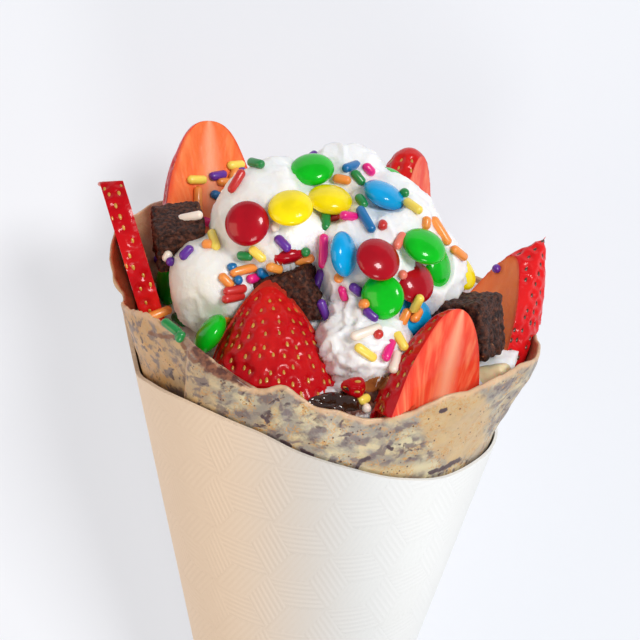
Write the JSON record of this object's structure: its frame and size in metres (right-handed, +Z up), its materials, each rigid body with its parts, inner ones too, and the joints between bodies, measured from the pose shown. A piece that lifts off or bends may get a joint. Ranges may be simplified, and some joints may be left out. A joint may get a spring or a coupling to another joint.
{
  "type": "dessert crepe",
  "caption": "Rolled dessert crepe in a paper cone sleeve, heaped with whipped cream, candy lentils, sprinkles, cut strawberries and brownie cubes, lying on its back.",
  "frame": {"origin": "middle of the flat strip along the back of the sleeve that the cone lies on, 110 mm from its tip", "axes": "+Y along the cone from its tip to its mouth, +Z up, towards the side that the picture shows, +X to that side's right"},
  "size_m": [0.1011, 0.2172, 0.0852],
  "materials": {
    "paper": "matte embossed paper",
    "crepe": "soft, browned in spots",
    "cream": "soft satin",
    "strawberry": "wet gloss",
    "brownie": "crumbly matte",
    "banana": "moist satin",
    "candy_red": "glossy sugar shell",
    "candy_green": "glossy sugar shell",
    "candy_yellow": "glossy sugar shell",
    "candy_blue": "glossy sugar shell",
    "candy_orange": "glossy sugar shell"
  },
  "bodies": {
    "root": {"sleeve": "paper", "crepe": "crepe", "cream": "cream", "strawberry_left": "strawberry", "strawberry_back_left": "strawberry", "strawberry_front_left": "strawberry", "strawberry_front_right": "strawberry", "strawberry_right": "strawberry", "strawberry_back_right": "strawberry", "strawberry_small": "strawberry", "brownie_left": "brownie", "brownie_front": "brownie", "brownie_right": "brownie", "banana_piece": "banana", "candy_green_top": "candy_green", "candy_yellow_left": "candy_yellow", "candy_yellow_right": "candy_yellow", "candy_red_left": "candy_red", "candy_red_middle": "candy_red", "candy_blue_middle": "candy_blue", "candy_green_right": "candy_green", "candy_green_middle": "candy_green", "candy_red_right": "candy_red", "candy_green_far": "candy_green", "candy_yellow_far": "candy_yellow", "candy_blue_low": "candy_blue", "candy_green_side": "candy_green", "candy_green_low": "candy_green", "candy_red_low": "candy_red", "candy_blue_top": "candy_blue", "candy_green_back": "candy_green", "candy_orange_low": "candy_orange", "candy_red_behind": "candy_red", "candy_yellow_behind": "candy_yellow", "candy_orange_behind": "candy_orange"}
  },
  "joints": []
}
